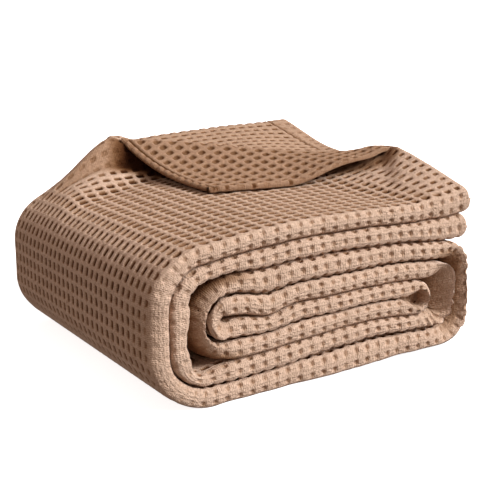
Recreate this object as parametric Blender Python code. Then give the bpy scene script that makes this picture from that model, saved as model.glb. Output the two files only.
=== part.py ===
"""A waffle weave cotton blanket, folded as it would be put away on a shelf.

The blanket is first folded lengthwise into a long strip several plies thick. The strip is
doubled and rolled flat, so its section is one line that runs through eight levels. That line
is walked here with straight runs and round corners, given the thickness of the strip, and
drawn through the depth of the bundle with a rounded fold at the front and the back. The top
ply's corner is turned back over the bundle in a loose roll and is joined to it as one body.

Metres, +Z up. The fold edges face -Y. The origin is under the middle of the bundle.
"""

import math

import bmesh
import bpy
from mathutils import Vector

# Driving dimensions of the folded bundle.
WIDTH = 0.2760
DEPTH = 0.240
STACK_HEIGHT = 0.118
LEVELS = 8

# The strip, the air between two of its layers, and one ply of the cloth.
PITCH = STACK_HEIGHT / LEVELS
FOLD_GAP = 0.0009
STRIP = PITCH - FOLD_GAP
PLY = 0.0042
SMALLEST_BEND = 0.0016

# Walls and turns of the rolled strip, as the X of their middle line.
LEFT_OUTER_WALL = -WIDTH / 2 + STRIP / 2
LEFT_INNER_WALL = LEFT_OUTER_WALL + PITCH
RIGHT_OUTER_WALL = WIDTH / 2 - STRIP / 2
RIGHT_INNER_WALL = RIGHT_OUTER_WALL - PITCH
OUTER_TURN_LEFT = -0.1040
INNER_TURN_LEFT = OUTER_TURN_LEFT + PITCH
END_FOLD_RIGHT = 0.0930
TOP_END_RIGHT = WIDTH / 2 - 0.006
SECOND_END_RIGHT = WIDTH / 2 - 0.010

# Bend radii of the middle line.
TOP_SHOULDER = 0.032
BOTTOM_SHOULDER = 0.038
RIGHT_RADIUS = 0.0165
RIGHT_INNER_RADIUS = 0.0085
OUTER_TURN_RADIUS = 1.5 * PITCH
U_TURN_RADIUS = 0.5 * PITCH

# The stack sags at its left shoulder and puffs up a little towards the back right corner.
# Sags and puffs are shares of its height. A span runs from no effect to the full one.
LEFT_SAG = 0.085
LEFT_SAG_SPAN = (-0.02, -0.14)
RIGHT_SAG = 0.015
RIGHT_SAG_SPAN = (0.04, 0.14)
BACK_PUFF = 0.075
PUFF_DEPTH_SPAN = (-0.11, 0.12)
PUFF_WIDTH_SPAN = (-0.12, 0.12)

# The top ply's back right corner is turned back over a diagonal roll. Left and right are the
# ends of the roll's crest. Behind the crest the plies below stand nearly as high as the roll,
# and beside its two ends the cloth climbs to it in a slope. Spans along the roll are shares of
# the crest's length, those behind it and across the bundle are metres.
CREST_LEFT = Vector((-0.046, 0.104, 0.1460))
CREST_RIGHT = Vector((0.1345, -0.025, 0.1430))
CREST_SAG = 0.007
CREST_SAG_LEAN = 2.2
REAR_DROP = 0.004
REAR_SLOPE = 0.16
LEFT_PEAK = 0.009
LEFT_PEAK_SPAN = (0.04, -0.06)
RIGHT_PEAK = 0.006
RIGHT_PEAK_SPAN = (0.98, 1.04)
RIGHT_DIP = 0.012
DIP_WIDTH_SPAN = (0.05, 0.13)
DIP_DEPTH_SPAN = (0.125, 0.045)
DIP_BEHIND_SPAN = (0.0, 0.025)
ROLL_WALL = 0.022
LEFT_RAMP = 0.050
LEFT_RAMP_SPAN = (0.0, -0.25)
RIGHT_RAMP = 0.080
RIGHT_RAMP_SPAN = (0.93, 1.05)
LEFT_SLOPE_SPAN = (-0.27, 0.0)
RAISED_FROM = 0.055

# The turned-back corner ends in a hem at its left and a free edge in front.
EDGE_LEFT = Vector((-0.030, -0.012))
EDGE_MIDDLE = Vector((0.046, -0.030))
EDGE_RIGHT = Vector((0.132, -0.033))
EDGE_LIFT = 0.0034
EDGE_LEAVES_SPAN = (0.50, 0.92)
DROP_LEFT = 2.3
DROP_RIGHT = 1.2
DROP_SPAN = (0.0, 0.5)

# Its root is tucked behind the crest, in metres behind the crest, above it and thick.
ROOT_BEHIND = 0.006
ROOT_DEPTH = 0.005
ROOT_THICKNESS = 0.0045
ROOT_TOP = (0.0042, 0.00084)
ROOT_UNDER = (0.0006, -0.00336)

# How many pieces the turned-back corner has along the roll and away from it.
ACROSS_ROLL = 14
FLAP_STEPS = 7

# How finely bends and runs are divided, in degrees and metres.
BEND_STEP = 22.5
TOP_RUN = 0.0125
LONGEST_RUN = 0.060
NOSE_ANGLES = (18, 42, 66, 90)
MIDDLE_SECTIONS = 13

BLANKET_COLOR = (0.50, 0.32, 0.22, 1.0)


def smooth(value):
    """Ease from 0 to 1 as value goes from 0 to 1."""
    value = min(max(value, 0.0), 1.0)
    return value * value * (3.0 - 2.0 * value)


def ramp(value, span):
    """Ease from 0 to 1 as value goes from one end of a span to the other."""
    return smooth((value - span[0]) / (span[1] - span[0]))


def level(number):
    """Height of the middle line of a level of the stack, counted from the top."""
    return STRIP / 2 + (LEVELS - number) * PITCH


def puff(x, y):
    """Height of the stack over the point (x, y), as a share of its nominal height."""
    sag = LEFT_SAG * ramp(x, LEFT_SAG_SPAN) + RIGHT_SAG * ramp(x, RIGHT_SAG_SPAN)
    rise = ramp(y, PUFF_DEPTH_SPAN) * ramp(x, PUFF_WIDTH_SPAN)
    return 1.0 - sag + BACK_PUFF * rise


def crest_height(along):
    """Height of the roll's crest, which hangs lowest towards its right end."""
    along = min(max(along, 0.0), 1.0)
    height = CREST_LEFT.z + (CREST_RIGHT.z - CREST_LEFT.z) * along
    return height - CREST_SAG * math.sin(math.pi * along ** CREST_SAG_LEAN)


def place_on_roll(x, y):
    """Share of the way along the roll's crest, and the distance behind it."""
    crest = (CREST_RIGHT - CREST_LEFT).to_2d()
    spot = Vector((x, y)) - CREST_LEFT.to_2d()
    behind = (crest.x * spot.y - crest.y * spot.x) / crest.length
    return spot.dot(crest) / crest.length_squared, behind


def lifted(x, y, height):
    """Height of a point after the plies above it are raised to the roll."""
    flat = height * puff(x, y)
    along, behind = place_on_roll(x, y)
    target = crest_height(along) - REAR_DROP + REAR_SLOPE * max(behind, 0.0)
    target += LEFT_PEAK * ramp(along, LEFT_PEAK_SPAN) + RIGHT_PEAK * ramp(along, RIGHT_PEAK_SPAN)
    dip = ramp(x, DIP_WIDTH_SPAN) * ramp(y, DIP_DEPTH_SPAN) * ramp(behind, DIP_BEHIND_SPAN)
    target -= RIGHT_DIP * dip
    wall = ROLL_WALL + LEFT_RAMP * ramp(along, LEFT_RAMP_SPAN)
    wall += RIGHT_RAMP * ramp(along, RIGHT_RAMP_SPAN)
    share = ramp(along, LEFT_SLOPE_SPAN) * ramp(behind, (-wall, 0.0))
    weight = ramp(height, (STACK_HEIGHT - RAISED_FROM, STACK_HEIGHT))
    full = target - (level(1) + STRIP / 2) * puff(x, y)
    return flat + max(full, 0.0) * share * weight ** 3


def stack_top(x, y):
    """Height of the bundle's upper surface."""
    return lifted(x, y, level(1) + STRIP / 2)


def strip_corners():
    """Corners of the strip's middle line as x, z and bend radius, outer end first."""
    return (
        (TOP_END_RIGHT, level(1), 0.0),
        (LEFT_OUTER_WALL, level(1), TOP_SHOULDER),
        (LEFT_OUTER_WALL, level(8), BOTTOM_SHOULDER),
        (RIGHT_OUTER_WALL, level(8), RIGHT_RADIUS),
        (RIGHT_OUTER_WALL, level(3), RIGHT_RADIUS),
        (OUTER_TURN_LEFT, level(3), OUTER_TURN_RADIUS),
        (OUTER_TURN_LEFT, level(6), OUTER_TURN_RADIUS),
        (END_FOLD_RIGHT, level(6), U_TURN_RADIUS),
        (END_FOLD_RIGHT, level(5), U_TURN_RADIUS),
        (INNER_TURN_LEFT, level(5), U_TURN_RADIUS),
        (INNER_TURN_LEFT, level(4), U_TURN_RADIUS),
        (RIGHT_INNER_WALL, level(4), RIGHT_INNER_RADIUS),
        (RIGHT_INNER_WALL, level(7), RIGHT_INNER_RADIUS),
        (LEFT_INNER_WALL, level(7), BOTTOM_SHOULDER - PITCH),
        (LEFT_INNER_WALL, level(2), TOP_SHOULDER - PITCH),
        (SECOND_END_RIGHT, level(2), 0.0),
    )


def straight_run(start, end, heading):
    """Points strictly between two ends of a straight run, closest together on the top."""
    spacing = TOP_RUN if end[1] > level(1) - PITCH / 2 else LONGEST_RUN
    pieces = max(1, math.ceil(math.dist(start[:2], end[:2]) / spacing))
    for piece in range(1, pieces):
        share = piece / pieces
        x = start[0] + (end[0] - start[0]) * share
        z = start[1] + (end[1] - start[1]) * share
        yield x, z, heading, 0.0, 1.0


def round_end(end, heading, inward):
    """Points over the blunt, rounded end of the strip, from its tip inward."""
    for angle in NOSE_ANGLES:
        bend = math.radians(angle)
        reach = STRIP / 2 * (1.0 - math.cos(bend))
        x = end[0] + inward * reach * math.cos(heading)
        z = end[1] + inward * reach * math.sin(heading)
        yield x, z, heading, 0.0, math.sin(bend)


def bend_points(start, heading_in, turn, radius):
    """Points round one bend, whose radius is negative where the strip turns right."""
    centre_x = start[0] - radius * math.sin(heading_in)
    centre_z = start[1] + radius * math.cos(heading_in)
    steps = math.ceil(abs(math.degrees(turn)) / BEND_STEP)
    for step in range(steps + 1):
        heading = heading_in + turn * step / steps
        x = centre_x + radius * math.sin(heading)
        z = centre_z - radius * math.cos(heading)
        yield x, z, heading, radius, 1.0


def walk_strip():
    """Points of the middle line as x, z, heading, bend radius and share of full thickness."""
    corners = strip_corners()
    first, second = corners[0], corners[1]
    heading = math.atan2(second[1] - first[1], second[0] - first[0])
    points = list(round_end(first, heading, 1.0))
    for before, corner, after in zip(corners, corners[1:], corners[2:]):
        heading = math.atan2(corner[1] - before[1], corner[0] - before[0])
        heading_out = math.atan2(after[1] - corner[1], after[0] - corner[0])
        turn = math.remainder(heading_out - heading, math.tau)
        radius = math.copysign(corner[2], turn)
        back = abs(radius * math.tan(turn / 2))
        start = (corner[0] - back * math.cos(heading), corner[1] - back * math.sin(heading))
        points.extend(straight_run(points[-1], start, heading))
        bend = list(bend_points(start, heading, turn, radius))
        if math.dist(points[-1][:2], bend[0][:2]) < 1e-6:
            bend = bend[1:]
        points.extend(bend)
    last = corners[-1]
    tip = list(round_end(last, points[-1][2], -1.0))
    points.extend(straight_run(points[-1], tip[-1], points[-1][2]))
    points.extend(reversed(tip))
    return points


def depth_sections():
    """Sections from the front to the back, as y and share of full thickness."""
    front = []
    for angle in NOSE_ANGLES:
        bend = math.radians(angle)
        front.append((-DEPTH / 2 + STRIP / 2 * (1.0 - math.cos(bend)), math.sin(bend)))
    start = front[-1][0]
    middle = [(start - 2 * start * step / (MIDDLE_SECTIONS + 1), 1.0)
              for step in range(1, MIDDLE_SECTIONS + 1)]
    back = [(-y, share) for y, share in reversed(front)]
    return front + middle + back


def strip_side(point, y, share, side):
    """A point on one side of the strip: side 1 is left of its direction, -1 is right."""
    x, z, heading, radius, end_share = point
    half = STRIP / 2 * share * end_share
    if radius * side > 0:
        half = min(half, abs(radius) - SMALLEST_BEND)
    x -= side * half * math.sin(heading)
    z += side * half * math.cos(heading)
    return Vector((x, y, lifted(x, y, z)))


def close_grid(mesh, upper, lower):
    """Join two equal grids of vertices into one closed body."""
    rows, columns = len(upper), len(upper[0])
    for row in range(rows - 1):
        for column in range(columns - 1):
            ring = ((row, column), (row + 1, column), (row + 1, column + 1), (row, column + 1))
            mesh.faces.new([upper[r][c] for r, c in ring])
            mesh.faces.new([lower[r][c] for r, c in reversed(ring)])
    border = [(row, 0) for row in range(rows)]
    border += [(rows - 1, column) for column in range(1, columns)]
    border += [(row, columns - 1) for row in range(rows - 2, -1, -1)]
    border += [(0, column) for column in range(columns - 2, 0, -1)]
    for here, there in zip(border, border[1:] + border[:1]):
        mesh.faces.new((upper[there[0]][there[1]], upper[here[0]][here[1]],
                        lower[here[0]][here[1]], lower[there[0]][there[1]]))


def grid_object(name, upper_points, lower_points):
    """Make a closed object of flat faces between two equal grids of points."""
    mesh = bmesh.new()
    upper = [[mesh.verts.new(point) for point in row] for row in upper_points]
    lower = [[mesh.verts.new(point) for point in row] for row in lower_points]
    close_grid(mesh, upper, lower)
    bmesh.ops.recalc_face_normals(mesh, faces=mesh.faces)
    bmesh.ops.triangulate(mesh, faces=mesh.faces)
    data = bpy.data.meshes.new(name)
    mesh.to_mesh(data)
    mesh.free()
    made = bpy.data.objects.new(name, data)
    bpy.context.scene.collection.objects.link(made)
    return made


def build_bundle():
    """The rolled strip: one section drawn through the depth of the bundle."""
    strip = walk_strip()
    sections = depth_sections()
    left = [[strip_side(point, y, share, 1) for point in strip] for y, share in sections]
    right = [[strip_side(point, y, share, -1) for point in strip] for y, share in sections]
    return grid_object("blanket", left, right)


def curve_through(start, middle, end, share):
    """A point on the parabola that passes middle at half way."""
    pull = middle * 2.0 - (start + end) * 0.5
    return start.lerp(pull, share).lerp(pull.lerp(end, share), share)


def crest_point(across):
    """A point of the roll's crest, a share of the way along it."""
    point = CREST_LEFT.lerp(CREST_RIGHT, across)
    point.z = crest_height(across)
    return point


def edge_point(across):
    """The free edge of the turned-back corner, which leaves the bundle at the right."""
    spot = curve_through(EDGE_LEFT, EDGE_MIDDLE, EDGE_RIGHT, across)
    rest = stack_top(spot.x, spot.y) + EDGE_LIFT
    height = rest + (crest_point(across).z - rest) * ramp(across, EDGE_LEAVES_SPAN)
    return Vector((spot.x, spot.y, max(height, rest)))


def flap_profile(across):
    """Upper and lower points from the root behind the crest to the free edge in front."""
    crest, edge = crest_point(across), edge_point(across)
    forward = Vector((edge.x - crest.x, edge.y - crest.y, 0.0))
    along_crest = CREST_RIGHT.to_2d() - CREST_LEFT.to_2d()
    behind = Vector((-along_crest.y, along_crest.x, 0.0)).normalized()
    up = Vector((0.0, 0.0, 1.0))
    half = up * PLY / 2
    root = crest + behind * ROOT_BEHIND
    root.z = min(stack_top(root.x, root.y), crest.z) - ROOT_DEPTH
    upper = [root, crest + behind * ROOT_TOP[0] + up * ROOT_TOP[1]]
    lower = [root - behind * ROOT_THICKNESS, crest + behind * ROOT_UNDER[0] + up * ROOT_UNDER[1]]
    drop = DROP_LEFT + (DROP_RIGHT - DROP_LEFT) * ramp(across, DROP_SPAN)
    for step in range(FLAP_STEPS + 1):
        share = step / FLAP_STEPS
        point = crest + forward * share
        point.z = edge.z + (crest.z - edge.z) * (1.0 - share) ** drop
        if step > 1:
            point.z = max(point.z, stack_top(point.x, point.y) + EDGE_LIFT)
        upper.append(point + half)
        lower.append(point - half)
    return upper, lower


def build_flap():
    """The turned-back corner of the top ply, as a sheet one ply thick."""
    profiles = [flap_profile(step / ACROSS_ROLL) for step in range(ACROSS_ROLL + 1)]
    upper = [profile[0] for profile in profiles]
    lower = [profile[1] for profile in profiles]
    return grid_object("turned_back_corner", upper, lower)


def paint(made):
    material = bpy.data.materials.new("waffle_cotton")
    material.use_nodes = True
    shader = material.node_tree.nodes["Principled BSDF"]
    shader.inputs["Base Color"].default_value = BLANKET_COLOR
    shader.inputs["Roughness"].default_value = 0.95
    shader.inputs["Metallic"].default_value = 0.0
    made.data.materials.append(material)


def main():
    for old in list(bpy.data.objects):
        bpy.data.objects.remove(old)
    blanket = build_bundle()
    corner = build_flap()
    corner.hide_render = True
    corner.display_type = "WIRE"
    join = blanket.modifiers.new("turned_back_corner", "BOOLEAN")
    join.operation = "UNION"
    join.object = corner
    paint(blanket)
    blanket.data.shade_smooth()
    blanket.data.set_sharp_from_angle(angle=math.radians(35))


main()
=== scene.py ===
"""The looks of a folded waffle weave blanket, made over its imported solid.

The blanket's solid is one folded strip. Here the same strip gets its woven skin: a grid of
points that follows the cells of the weave, so that every hollow and rib of the waffle is real
relief. The corner of the top ply that is turned back over a loose roll is a piece of its own.

Distances are metres. Cloth coordinates count cells: `along` runs along the strip's section, and
`around` runs round the strip from its front fold, negative over the outer side of the outer
layers. `side` is 1 at the left of the way that the strip's line takes, and -1 at its right. A
span is a pair of values: where a change starts, and where it is complete.
"""

import math

import bpy
import numpy as np
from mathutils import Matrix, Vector


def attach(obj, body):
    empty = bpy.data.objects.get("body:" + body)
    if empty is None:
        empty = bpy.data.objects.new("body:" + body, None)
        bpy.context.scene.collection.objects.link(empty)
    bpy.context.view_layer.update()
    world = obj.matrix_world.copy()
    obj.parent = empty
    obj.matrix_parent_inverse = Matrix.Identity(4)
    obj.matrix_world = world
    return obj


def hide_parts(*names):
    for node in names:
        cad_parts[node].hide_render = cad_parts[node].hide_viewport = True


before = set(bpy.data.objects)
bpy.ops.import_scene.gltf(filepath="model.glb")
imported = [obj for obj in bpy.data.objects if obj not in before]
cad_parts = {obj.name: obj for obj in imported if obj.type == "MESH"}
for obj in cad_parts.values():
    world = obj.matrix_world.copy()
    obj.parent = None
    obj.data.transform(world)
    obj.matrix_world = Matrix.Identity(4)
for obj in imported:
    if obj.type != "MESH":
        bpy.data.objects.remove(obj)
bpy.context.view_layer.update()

# ---- the folded strip, as in part.py
WIDTH = 0.2760
DEPTH = 0.240
STACK_HEIGHT = 0.118
LEVELS = 8
LAYER_GAP = 0.0009
PITCH = STACK_HEIGHT / LEVELS
STRIP = PITCH - LAYER_GAP
TOP_HEIGHT = STACK_HEIGHT - LAYER_GAP
SMALLEST_BEND = 0.0016

LEFT_OUTER_WALL = -WIDTH / 2 + STRIP / 2
LEFT_INNER_WALL = LEFT_OUTER_WALL + PITCH
RIGHT_OUTER_WALL = WIDTH / 2 - STRIP / 2
RIGHT_INNER_WALL = RIGHT_OUTER_WALL - PITCH
OUTER_TURN_LEFT = -0.1040
INNER_TURN_LEFT = OUTER_TURN_LEFT + PITCH
END_FOLD_RIGHT = 0.0930
TOP_SHOULDER = 0.032
BOTTOM_SHOULDER = 0.038
RIGHT_RADIUS = 0.0165
RIGHT_INNER_RADIUS = 0.0085
OUTER_TURN_RADIUS = 1.5 * PITCH
U_TURN_RADIUS = 0.5 * PITCH

# The strip's two ends at the right: how far they reach, how blunt they are, how the top one leans.
TOP_END_RIGHT = WIDTH / 2 - 0.003
SECOND_END_RIGHT = WIDTH / 2 - 0.005
END_POWER = 3.0
END_SHEAR = 0.0025
END_SHEAR_SPAN = (0.0, 0.016)

# ---- the height of the stack
# The stack sags at both sides, by shares of its height, and is puffed up towards the back right.
SAGS = ((0.085, (-0.02, -0.14)), (0.015, (0.04, 0.14)))
BACK_PUFF = 0.075
PUFF_DEPTH_SPAN = (-0.11, 0.12)
PUFF_WIDTH_SPAN = (-0.12, 0.12)

# The crest of the loose roll under the turned-back corner, with its sag and a small bump.
CREST_LEFT = np.array((-0.046, 0.104, 0.146))
CREST_RIGHT = np.array((0.1345, -0.025, 0.143))
CREST_SAG = 0.007
CREST_SAG_LEAN = 2.2
CREST_BUMP = 0.0014
CREST_BUMP_AT = 0.93
CREST_BUMP_WIDE = 0.04

# The top ply at the crest and behind it. It peaks past the crest's ends, and falls again at the
# right, over spans of shares of the way along it.
REAR_DROP = 0.004
REAR_SLOPE = 0.16
PEAKS = ((0.009, (0.04, -0.06)), (0.0088, (0.96, 1.03)), (-0.0022, (1.06, 1.12)))
RIGHT_DIP = 0.008
DIP_WIDTH_SPAN = (0.05, 0.13)
DIP_DEPTH_SPAN = (0.125, 0.045)
DIP_BEHIND_SPAN = (0.0, 0.025)

# The rise in front of the crest. Its gentle part has the width and the share of the rise in the
# tables, at shares of the way along the crest. The rest is a steep wall.
GENTLE_WIDTH = ((-0.15, 0.112), (0.15, 0.022), (0.4, 0.022), (0.8, 0.07), (1.1, 0.118))
GENTLE_RISE = ((-0.1, 0.52), (0.12, 0.42), (0.35, 0.3), (0.5, 0.3), (0.75, 0.42),
               (0.95, 0.75), (1.12, 1.0))
STEEP_WALL = 0.015
STEEP_WALL_RIGHT = 0.045
STEEP_WALL_SPAN = (0.8, 1.1)
WALL_ALONG_BACK = 0.158
WALL_BEND = 0.05
LEFT_SLOPE_SPAN = (-0.29, 0.0)
RAISED_FROM = 0.055
RAISED_POWER = 3

# How the stack has slumped: a place x, z, its reach in x and in z, and its rise.
SLUMPS = (
    (0.04, 0.024, 0.05, 0.028, 0.0052),
    (-0.02, 0.03, 0.03, 0.03, 0.0016),
    (-0.047, 0.062, 0.015, 0.02, -0.0042),
    (-0.08, 0.076, 0.018, 0.02, 0.0042),
    (0.118, 0.082, 0.03, 0.026, -0.0038),
    (0.0, 0.098, 0.08, 0.02, 0.0018),
)
SLUMP_DEPTH_SPAN = (-0.12, 0.02)
SLUMP_LEFT_BEHIND = 0.25
BOTTOM_LIFT = 0.0022
BOTTOM_LIFT_SPAN = (0.0, 0.13)

# ---- the grid of the woven skin
CELL_ALONG = 0.0100
CELL_AROUND = 0.00808
SKIN_GAP = 0.00015
HALF_STRIP = PITCH / 2 - SKIN_GAP
NOSE_DEPTH = 0.0062
NOSE_POWER = 2.9
NOSE_STEPS = 60
LINE_STEP = 0.0005
CURVE_BLUR = 0.006
SHAPE_BLUR = 0.012

# Grid lines in one cell, as shares of it, closest together where the hollow's sides are steep.
# Where the cloth is hidden, past a reach from its folds, they are a coarse step apart. The last
# value is how close they may come to a stretch's ends, in cells.
FINE_ALONG = (0.0, 0.15, 0.22, 0.29, 0.38, 0.5, 0.62, 0.71, 0.78, 0.85)
FINE_AROUND = (0.0, 0.09, 0.17, 0.26, 0.5, 0.74, 0.83, 0.91)
COARSE_STEP = 0.012
FOLD_REACH = 0.008
CLOSEST_LINES = 0.02

# Cloth that is raised keeps the size of its cells up to this arc from the front fold.
EVEN_UP_TO = 0.205
EVEN_STEPS = 500

# The stretches of the strip that are pieces: a name, the distance along the line where each
# starts, and whether the strip's outer side shows.
STRETCHES = (
    ("top_layer", 0.0, True),
    ("left_side", 0.262, True),
    ("bottom_layer", 0.42, True),
    ("right_side", 0.62, True),
    ("inner_layers_a", 0.76, False),
    ("inner_layers_b", 1.3, False),
    ("inner_layers_c", 1.75, False),
)

# At distances along the strip's line: the share of its thickness that is left, how far it moves
# to its left, and how far the weave drifts from the front fold, in cells.
STRIP_SHAPE = (
    (0.25, 1.0, 0.0, 0.5),
    (0.3, 1.0, 0.0, 0.42),
    (0.35, 1.0, 0.0, 0.42),
    (0.42, 1.0, 0.0, 0.45),
    (0.59, 1.0, 0.0, 0.4),
    (0.628, 0.86, -0.001, 0.2),
    (0.65, 0.9, -0.0005, 0.0),
    (0.76, 1.0, 0.0, 0.1),
    (0.86, 1.0, 0.0, 0.1),
    (0.905, 0.72, 0.0015, 0.0),
    (0.95, 0.95, 0.0, 0.2),
    (1.0, 1.0, 0.0, 0.4),
    (1.1, 1.0, 0.0, 0.4),
    (1.15, 1.0, 0.0, 0.0),
    (1.28, 0.95, 0.0, 0.0),
    (1.31, 0.75, 0.0, 0.2),
    (1.35, 0.95, 0.0, 0.5),
    (1.5, 1.0, 0.0, 0.5),
    (1.54, 0.82, -0.0015, 0.0),
    (1.73, 1.0, 0.0, 0.0),
    (1.755, 1.0, 0.0, 0.0),
    (1.782, 0.5, 0.003, 0.1),
    (1.797, 1.05, -0.0006, 0.1),
    (1.812, 0.72, 0.0014, 0.1),
    (1.83, 1.02, -0.0004, 0.1),
    (1.85, 0.9, 0.0, 0.0),
    (2.087, 1.0, 0.0, 0.0),
)

# A slow unevenness along the strip, as waves with a rate, a start and a size, and its part in
# the strip's thickness, in the relief and in the front folds.
WANDER = ((61.0, 0.3, 0.0011), (127.0, 1.9, 0.0007), (251.0, 4.1, 0.0004))
THICKNESS_WANDER = {"size": 12.0, "rate": 1.7}
RELIEF_WANDER = {"size": 120.0, "rate": 3.1, "rate_around": 2.3}
FRONT_WANDER = 0.6

# ---- the front folds
# Where the front folds draw back: a distance along the line, its reach either way, how far the
# strip's left and right edge draw back, how curved this is, and how far the rest comes forward.
DRAWN_BACK = (
    (0.3, 0.07, 0.0, 0.005, 2.0, 0.0),
    (0.628, 0.066, 0.021, 0.0, 0.6, 0.005),
    (0.906, 0.045, 0.0, 0.024, 1.0, 0.0),
    (1.308, 0.022, 0.0, 0.006, 1.0, 0.0),
    (1.54, 0.046, 0.0, 0.024, 0.5, 0.008),
)
BACK_EVERYWHERE = 0.0008
DRAWN_BACK_FADES = (0.0, 0.085)
OPEN_FOLD = {"at": 1.119, "reach": 0.026, "deep": 0.013, "rim": -0.86, "wall": 0.28}
PLEATS = {"at": 1.562, "reach": 0.026, "deep": 0.0028, "count": 3.5, "lean": 0.6}

# How much painted shade a fold gets as it draws back.
BACK_SHADE = {"most": 0.6, "at": 0.022, "power": 1.3}

# Where a fold has painted shade in its gap, or a painted highlight on its rim: a distance along
# the line, its reach either way, the side where it starts, the side where it is full, and how much.
GAP_SHADES = (
    (0.64, 0.055, -0.35, 0.15, 0.56),
    (0.906, 0.055, 0.15, -0.8, 0.86),
    (1.54, 0.04, 0.78, 0.92, -0.32),
    (1.119, 0.022, -0.7, -0.9, -0.25),
)

# ---- the waffle's relief
# A hollow's half size along and around, how soft its rim is, how deep it is, how far the bar
# between two hollows lies below a rib, how much painted shade it gets, and how round. On the
# face the wrapped strip pulls the hollows narrow. Over a fold they are round, with painted shade
# on the side away from the light only. The reverse has squarer ones.
RELIEF = ("along", "around", "soft", "deep", "bar", "painted_shade", "round")
TOP, RAISED, FACE, FOLD, REVERSE = (dict(zip(RELIEF, sizes)) for sizes in (
    (0.0029, 0.0018, 0.0009, 0.0028, 0.0005, 1.0, 0.0),
    (0.0024, 0.0012, 0.0009, 0.0021, 0.0004, 0.75, 0.0),
    (0.0026, 0.0015, 0.0009, 0.0028, 0.0006, 1.0, 0.0),
    (0.0022, 0.0025, 0.0011, 0.0026, 0.0002, 0.42, 1.0),
    (0.0024, 0.0022, 0.0013, 0.0024, 0.0, 0.75, 0.3),
))
TOP_UP_TO = (0.262, 0.235)
RAISED_BY = (0.002, 0.009)
FOLD_ENDS = (0.6, 1.3)
DIMPLE_SMALLER = 0.5
DIMPLE_SOFTER = 1.5
BAR_SOFTER = 2.0

# The painted shade of a hollow: the share of it where it starts and is full, how much lighter
# its floor is, the most that there may be, and the offset over which a round one gets its
# painted shade on the side away from the light only.
PAINTED_SHADE_FROM = (0.03, 0.38)
FLOOR_FROM = (0.7, 1.0)
FLOOR_LIGHT = 0.16
MOST_HOLLOW = 0.94
CRESCENT_SPAN = (-0.0004, 0.0016)

# Shares of the relief that are left at distances along the line, and those on the folds alone.
PLAIN = ((1.485, 1.0), (1.505, 0.35), (1.575, 0.35), (1.6, 1.0))
PLAIN_FOLD = ((0.24, 1.0), (0.275, 0.35), (0.345, 0.35), (0.385, 1.0),
              (1.775, 1.0), (1.79, 0.5), (1.84, 0.5), (1.86, 1.0))

# How the relief gets lost at the strip's ends, on folds that are drawn back, where the cloth is
# stretched, and on the steep wall.
END_PLAIN_SPAN = (0.001, 0.009)
BACK_PLAIN = {"most": 0.6, "at": 0.0075}
STRETCHED_PLAIN = 0.85
STRETCHED_BY = (1.12, 1.5)
WALL_PLAIN = 0.60

# ---- painted shade on the top ply
# The steep wall, between shares of the way along the crest, and how soft its two edges are.
WALL_STARTS = (-0.24, -0.16)
WALL_ENDS = (0.98, 1.06)
WALL_EDGE = 0.006
# Painted shade on the steep wall.
WALL_SHADE = 0.33
# The hollows under the roll, between shares of the way along the crest, how far in front, and
# the painted shade in them.
LEFT_HOLLOW_SPANS = ((-0.1, 0.03), (0.35, 0.5))
LEFT_HOLLOW_DEEP = (-STEEP_WALL - 0.012, -STEEP_WALL)
LEFT_HOLLOW_SHADE = 0.95
RIGHT_HOLLOW_SPANS = ((0.5, 0.68), (1.0, 1.05))
RIGHT_HOLLOW_DEEP = (-0.034, -0.02)
RIGHT_HOLLOW_SHADE = 0.58
HOLLOW_ENDS_BEHIND = (0.0, 0.004)
# Painted shade on the top ply behind the crest.
REAR_SHADE = 0.20
REAR_SHADE_SPAN = (0.004, 0.02)

# ---- hems and stitches
STITCH_DEEP = 0.0016
STITCH_WIDE = 0.0009

# The sewn edge at the back right of the top ply: two points x, y of it, and where it ends.
REAR_HEM = ((0.111, 0.105), (0.1155, 0.06))
REAR_HEM_SPAN = (0.045, 0.049)
REAR_HEM_INSIDE = (-0.001, 0.002)
REAR_HEM_PLAIN = 0.65
# Painted shade in the stitched groove.
REAR_STITCH_PAINTED_SHADE = 0.9

# ---- the turned-back corner
# Its free edge in plan, which sinks into the top ply at its right end, where the crest is.
EDGE_LEFT = np.array((-0.03, -0.012))
EDGE_MIDDLE = np.array((0.046, -0.03))
EDGE_RIGHT = np.array((0.132, -0.033))
EDGE_LIFT = 0.0034
EDGE_SINKS = 2.1
EDGE_SINKS_SPAN = (0.86, 0.96)
EDGE_LEAVES_SPAN = (0.42, 0.82)

# How its cloth falls from the crest, as powers, and from which share on it rests on the top.
DROP_LEFT = 2.3
DROP_RIGHT = 1.2
DROP_SPAN = (0.0, 0.5)
RESTS_FROM = 0.2

# Its own cells, the way its weave runs, its ply, its grid, and its painted shade above and below.
FLAP_CELLS = (0.0097, 0.0088)
FLAP_HEADING = math.radians(8.3)
FLAP_PLY = 0.0030
FLAP_ACROSS = 250
FLAP_DOWN = 140
FLAP_PAINTED_SHADE = 0.67
UNDER_PAINTED_SHADE = 0.8

# How it rounds the crest, and where its right end sinks into the top and thins out.
ROLL_OVER = 0.007
ROLL_OVER_TURN = math.radians(100.0)
ROLL_OVER_LINES = 14
FLAP_END = 1.018
SINK_SPAN = (0.97, 1.03)
SINK = 0.0008
END_THINS = (0.95, 1.03)
END_THINNER = 0.8

# Its two rolled hems. The front one has lumps, whose second wave has a size, a rate and a start,
# with dents between them, and thins out to the right. A knot sits at the corner.
HEM_SIDE = 0.0048
HEM_FRONT = 0.0044
HEM_RAISE = 0.0012
HEM_BELOW = 0.5
HEM_RELIEF = 0.50
HEM_RELIEF_SPAN = 0.003
# Painted shade in the hems' grooves, their dents and the knot.
HEM_PAINTED_SHADE = 0.8
HEM_LUMPS = 0.40
SECOND_LUMPS = (0.6, 0.37, 1.0)
LUMPY_GROOVE = (0.6, 0.5)
DENT_LUMPS = (0.6, 1.4)
DENT_SPAN = (0.0005, 0.0036)
HEM_THINS = (0.38, 0.62)
HEM_THINNER = 0.7
KNOT_AT = 0.0030
KNOT_WIDE = 0.0026

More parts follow.
